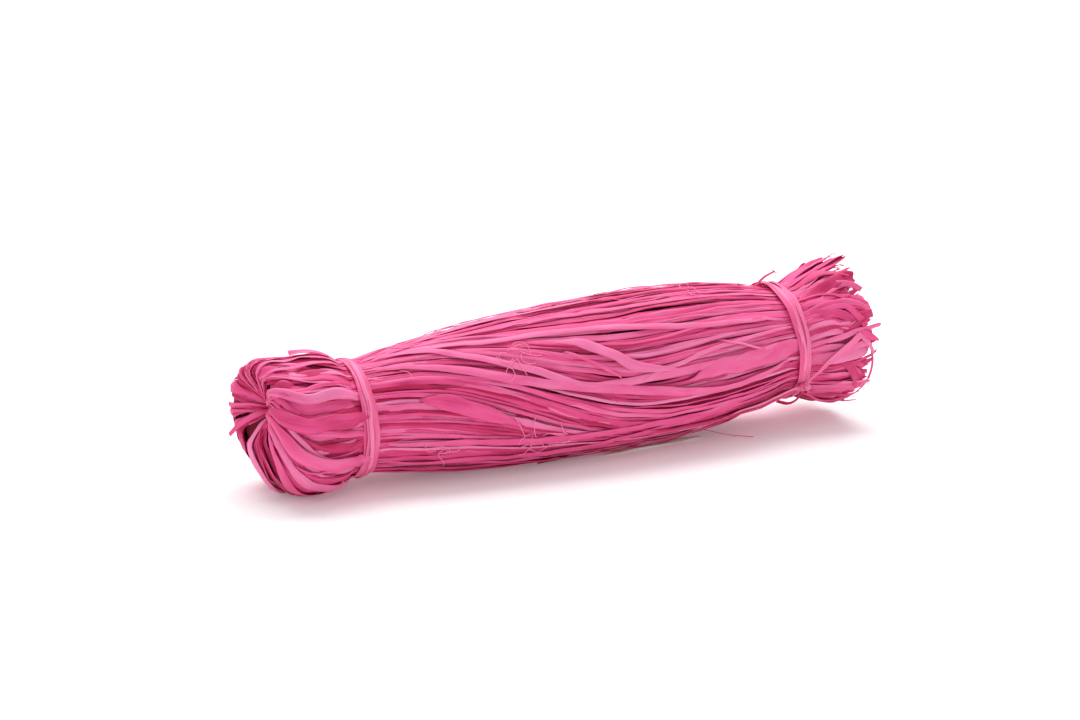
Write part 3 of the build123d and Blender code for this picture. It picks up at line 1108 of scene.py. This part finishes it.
# ---- Strip that pulls out of the middle ----
# The hank is used from the inside: one strip runs straight down the opening, leaves it among
# the pleats, and hangs over the rim.
pull_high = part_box("pull_strip")[1]
pull_bend_x = tip_x + 12 * mm
pull_width = 3.0  # mm, and this much less at its hanging end
pull_taper = 0.9
inside_line = straight(
    np.array([pull_high.x, 0, bore_height]), np.array([pull_bend_x, 0, bore_height]), 30
)
hanging_from_tip = ((9, 0.3, 0.0), (6, 1.0, -0.6), (3, 2.6, -2.0), (0.6, 5.0, -4.2),
                    (-1.6, 7.4, -7.0), (-3.4, 9.2, -10.0))  # mm: along, across, up
hanging = np.array([tip_x, 0, bore_height]) + np.array(hanging_from_tip) * mm
pull_line = np.concatenate([inside_line, hanging])
pull_count = len(pull_line)
pull_share = np.linspace(0, 1, pull_count)
pull_out = np.tile([0.0, 0.0, 1.0], (pull_count, 1))
pull_out[-5:] = (-0.75, -0.35, 0.5)  # the hanging end turns to face away from the fold
pull_strip = strip(
    pull_line,
    pull_out,
    (pull_width - pull_taper * ease((pull_share - 0.8) / 0.2)) * mm,
    arch=0.35,
    crease=0.25,
    tone=0.5,
)
weave("pull_strip_leaf", [pull_strip], dyed_raffia, "pull_strip", ["pull_strip"])


# ---- Strays ----
# Handling has pulled a few strips loose: one over the top of the bulb, with a dark strip behind
# it, one broken off beside the far tie with a barb of split leaf, one looped under the cut ends
# and one under the knot, and thin slivers and hairs on the floor and on top.
crown_low, crown_high = ends_of("crown_strip")
crown_share = np.linspace(0, 1, 24)
crown_x = crown_low[0] + crown_share * (crown_high[0] - crown_low[0])
crown_rise = 2.3 - 2.0 * crown_share + 0.7 * np.sin(pi * crown_share)  # mm
crown_line, crown_out = on_bundle(crown_x, 88 + 6 * crown_share, crown_rise * mm)
back_points = 14  # the strip behind it is shorter
crown_back = crown_line[:back_points] + np.array([0.6 * mm, -1.6 * mm, -1.0 * mm])
crown = [
    strip(
        crown_line,
        crown_out,
        (2.7 - 0.8 * crown_share) * mm,
        arch=0.2,
        crease=0.7,
        crease_place=-0.3,
        tone=0.82,
        twist=-30 + 24 * crown_share,
    ),
    strip(
        crown_back, crown_out[:back_points], 2.2 * mm, arch=0.3, crease=0.4, tone=0.4, twist=34
    ),
]
weave("crown_leaf", crown, dyed_raffia, "hank", ["crown_strip"])

stray_low, stray_high = ends_of("stray_end")
stray_line = straight(stray_low, stray_high, 12, (0, 0, 0.5 * mm))
barb_line = straight(
    stray_high + np.array([-1.3, 0.4, 1.0]) * mm, stray_high + np.array([0.7, -0.4, -0.7]) * mm, 6
)
broken = [
    strip(stray_line, away(stray_line), 1.4 * mm, arch=0.35, crease=0.5, tone=0.2),
    strip(barb_line, away(barb_line), 0.6 * mm, arch=0.3, tone=0.7, twist=30),
]
weave("broken_end", broken, dyed_raffia, "hank", ["stray_end"])


def free_line(corners, count):
    """A smooth line through these points, given in millimetres."""
    corners = np.array(corners, float) * mm
    steps = np.linalg.norm(np.diff(corners, axis=0), axis=1)
    places = np.concatenate([[0], np.cumsum(steps)])
    share = np.linspace(0, places[-1], count)
    return np.stack([smooth_through(places, corners[:, i])(share) for i in range(3)], -1)


loop_corners = (
    (104, -21, 17), (112, -19, 12.5), (122, -17, 10.5), (130, -18, 12), (134.5, -21, 18),
    (135.5, -24, 27), (133.5, -25, 35),
)
loop = free_line(loop_corners, 40)
under_loop = free_line(((104, -20, 17.5), (101, -21, 14.6), (97, -21, 13.2), (92, -20, 14.5)), 18)
floor_hair = free_line(((67, -4, 1.5), (72, -9, 0.5), (77, -14, 0.4), (82, -19, 0.4)), 20)
floor_strip = free_line(((14, -5, 0.7), (5, -7.5, 0.6), (-5, -10, 0.5), (-13, -11.7, 0.5)), 20)
top_hair = free_line(((-86, -3, 48.5), (-74, -4, 53), (-66, -5, 52.5), (-60, -6, 54)), 20)
tick = free_line(((86, -2, 56.5), (84, -2.4, 59), (83, -2.6, 61.5)), 8)
strays = [
    strip(loop, away(loop), 1.1 * mm, arch=0.35, tone=0.45),
    strip(under_loop, away(under_loop), 2.2 * mm, arch=0.4, crease=0.4, tone=0.0),
    strip(floor_hair, (0, -0.5, 0.85), 0.22 * mm, arch=0.2, tone=0.6),
    strip(floor_strip, (0, -0.3, 0.95), 0.9 * mm, arch=0.3, tone=0.0),
    strip(top_hair, away(top_hair), 0.45 * mm, arch=0.3, tone=0.5),
    strip(tick, away(tick), 0.35 * mm, arch=0.3, tone=0.6),
]
weave("stray_strips", strays, dyed_raffia, "hank")


# ---- Undyed strip ----
# One strip missed the dye bath. It has worked out from under the belly and lies on the floor.
plain_raffia = raffia_finish(
    "undyed raffia", (0.60, 0.46, 0.32), (0.76, 0.64, 0.50), (0.88, 0.80, 0.68), 0.5
)
plain_out = 2 * mm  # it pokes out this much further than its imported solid
plain_low, plain_high = ends_of("undyed_strip")
plain_count = 24
plain_share = np.linspace(0, 1, plain_count)
plain_line = straight(plain_low, plain_high, plain_count, (0, 0.8 * mm, 0))
plain_line[:, 1] -= plain_out
plain_line[:, 2] = (0.45 + 0.35 * np.sin(5 * plain_share) ** 2) * mm
start_taper = 0.5 + 0.5 * ease(plain_share / 0.25)
stop_taper = 0.5 + 0.5 * ease((1 - plain_share) / 0.2)
plain = strip(
    plain_line,
    (0, -0.12, 1),
    3.0 * mm * start_taper * stop_taper,
    arch=0.12,
    crease=0.12,
    tone=1.0,
    twist=8 * np.sin(4 * plain_share),
)
weave("undyed_leaf", [plain], plain_raffia, "hank", ["undyed_strip"])


# ---- Fine fibres ----
# Torn leaf sheds hairs. They curl up off the belly in small tufts and lie across the strips.
fibre_points = 22
fibre_width = 0.3 * mm
fibre_thickness = 0.18 * mm


def curl_up(x, angle, length, heading, bend):
    """One hair that starts on the bundle and curls away over it. Lengths are in millimetres."""
    share = np.linspace(0, 1, fibre_points)
    turn = np.radians(heading + bend * share**1.4)
    step = length / fibre_points * mm
    along = np.cumsum(np.cos(turn)) * step
    around = np.degrees(np.cumsum(np.sin(turn)) * step / belly_radius)
    lift = (0.5 + 1.1 * np.sin(pi * share) + 0.3 * wander(fibre_points)) * mm
    points, out = on_bundle(x * mm + along, angle + around, lift)
    return strip(points, out, fibre_width, arch=0.2, tone=1.1)


fibres = []
tufts = (
    (-27, 132, 6), (-20, 137, 5), (-23, 205, 7), (-13, 207, 5), (-62, 205, 6), (-76, 122, 2),
    (60, 96, 3), (30, 20, 4), (-40, 330, 4), (70, 300, 4),
)  # mm along, degrees round, hairs
for x, angle, hairs in tufts:
    for _ in range(hairs):
        fibres.append(curl_up(
            x + rng.normal(0, 4),
            angle + rng.normal(0, 4),
            rng.uniform(6, 13),
            rng.uniform(0, 360),
            rng.uniform(-260, 260),
        ))
weave("fine_fibres", fibres, tie_raffia, "hank", thickness=fibre_thickness)
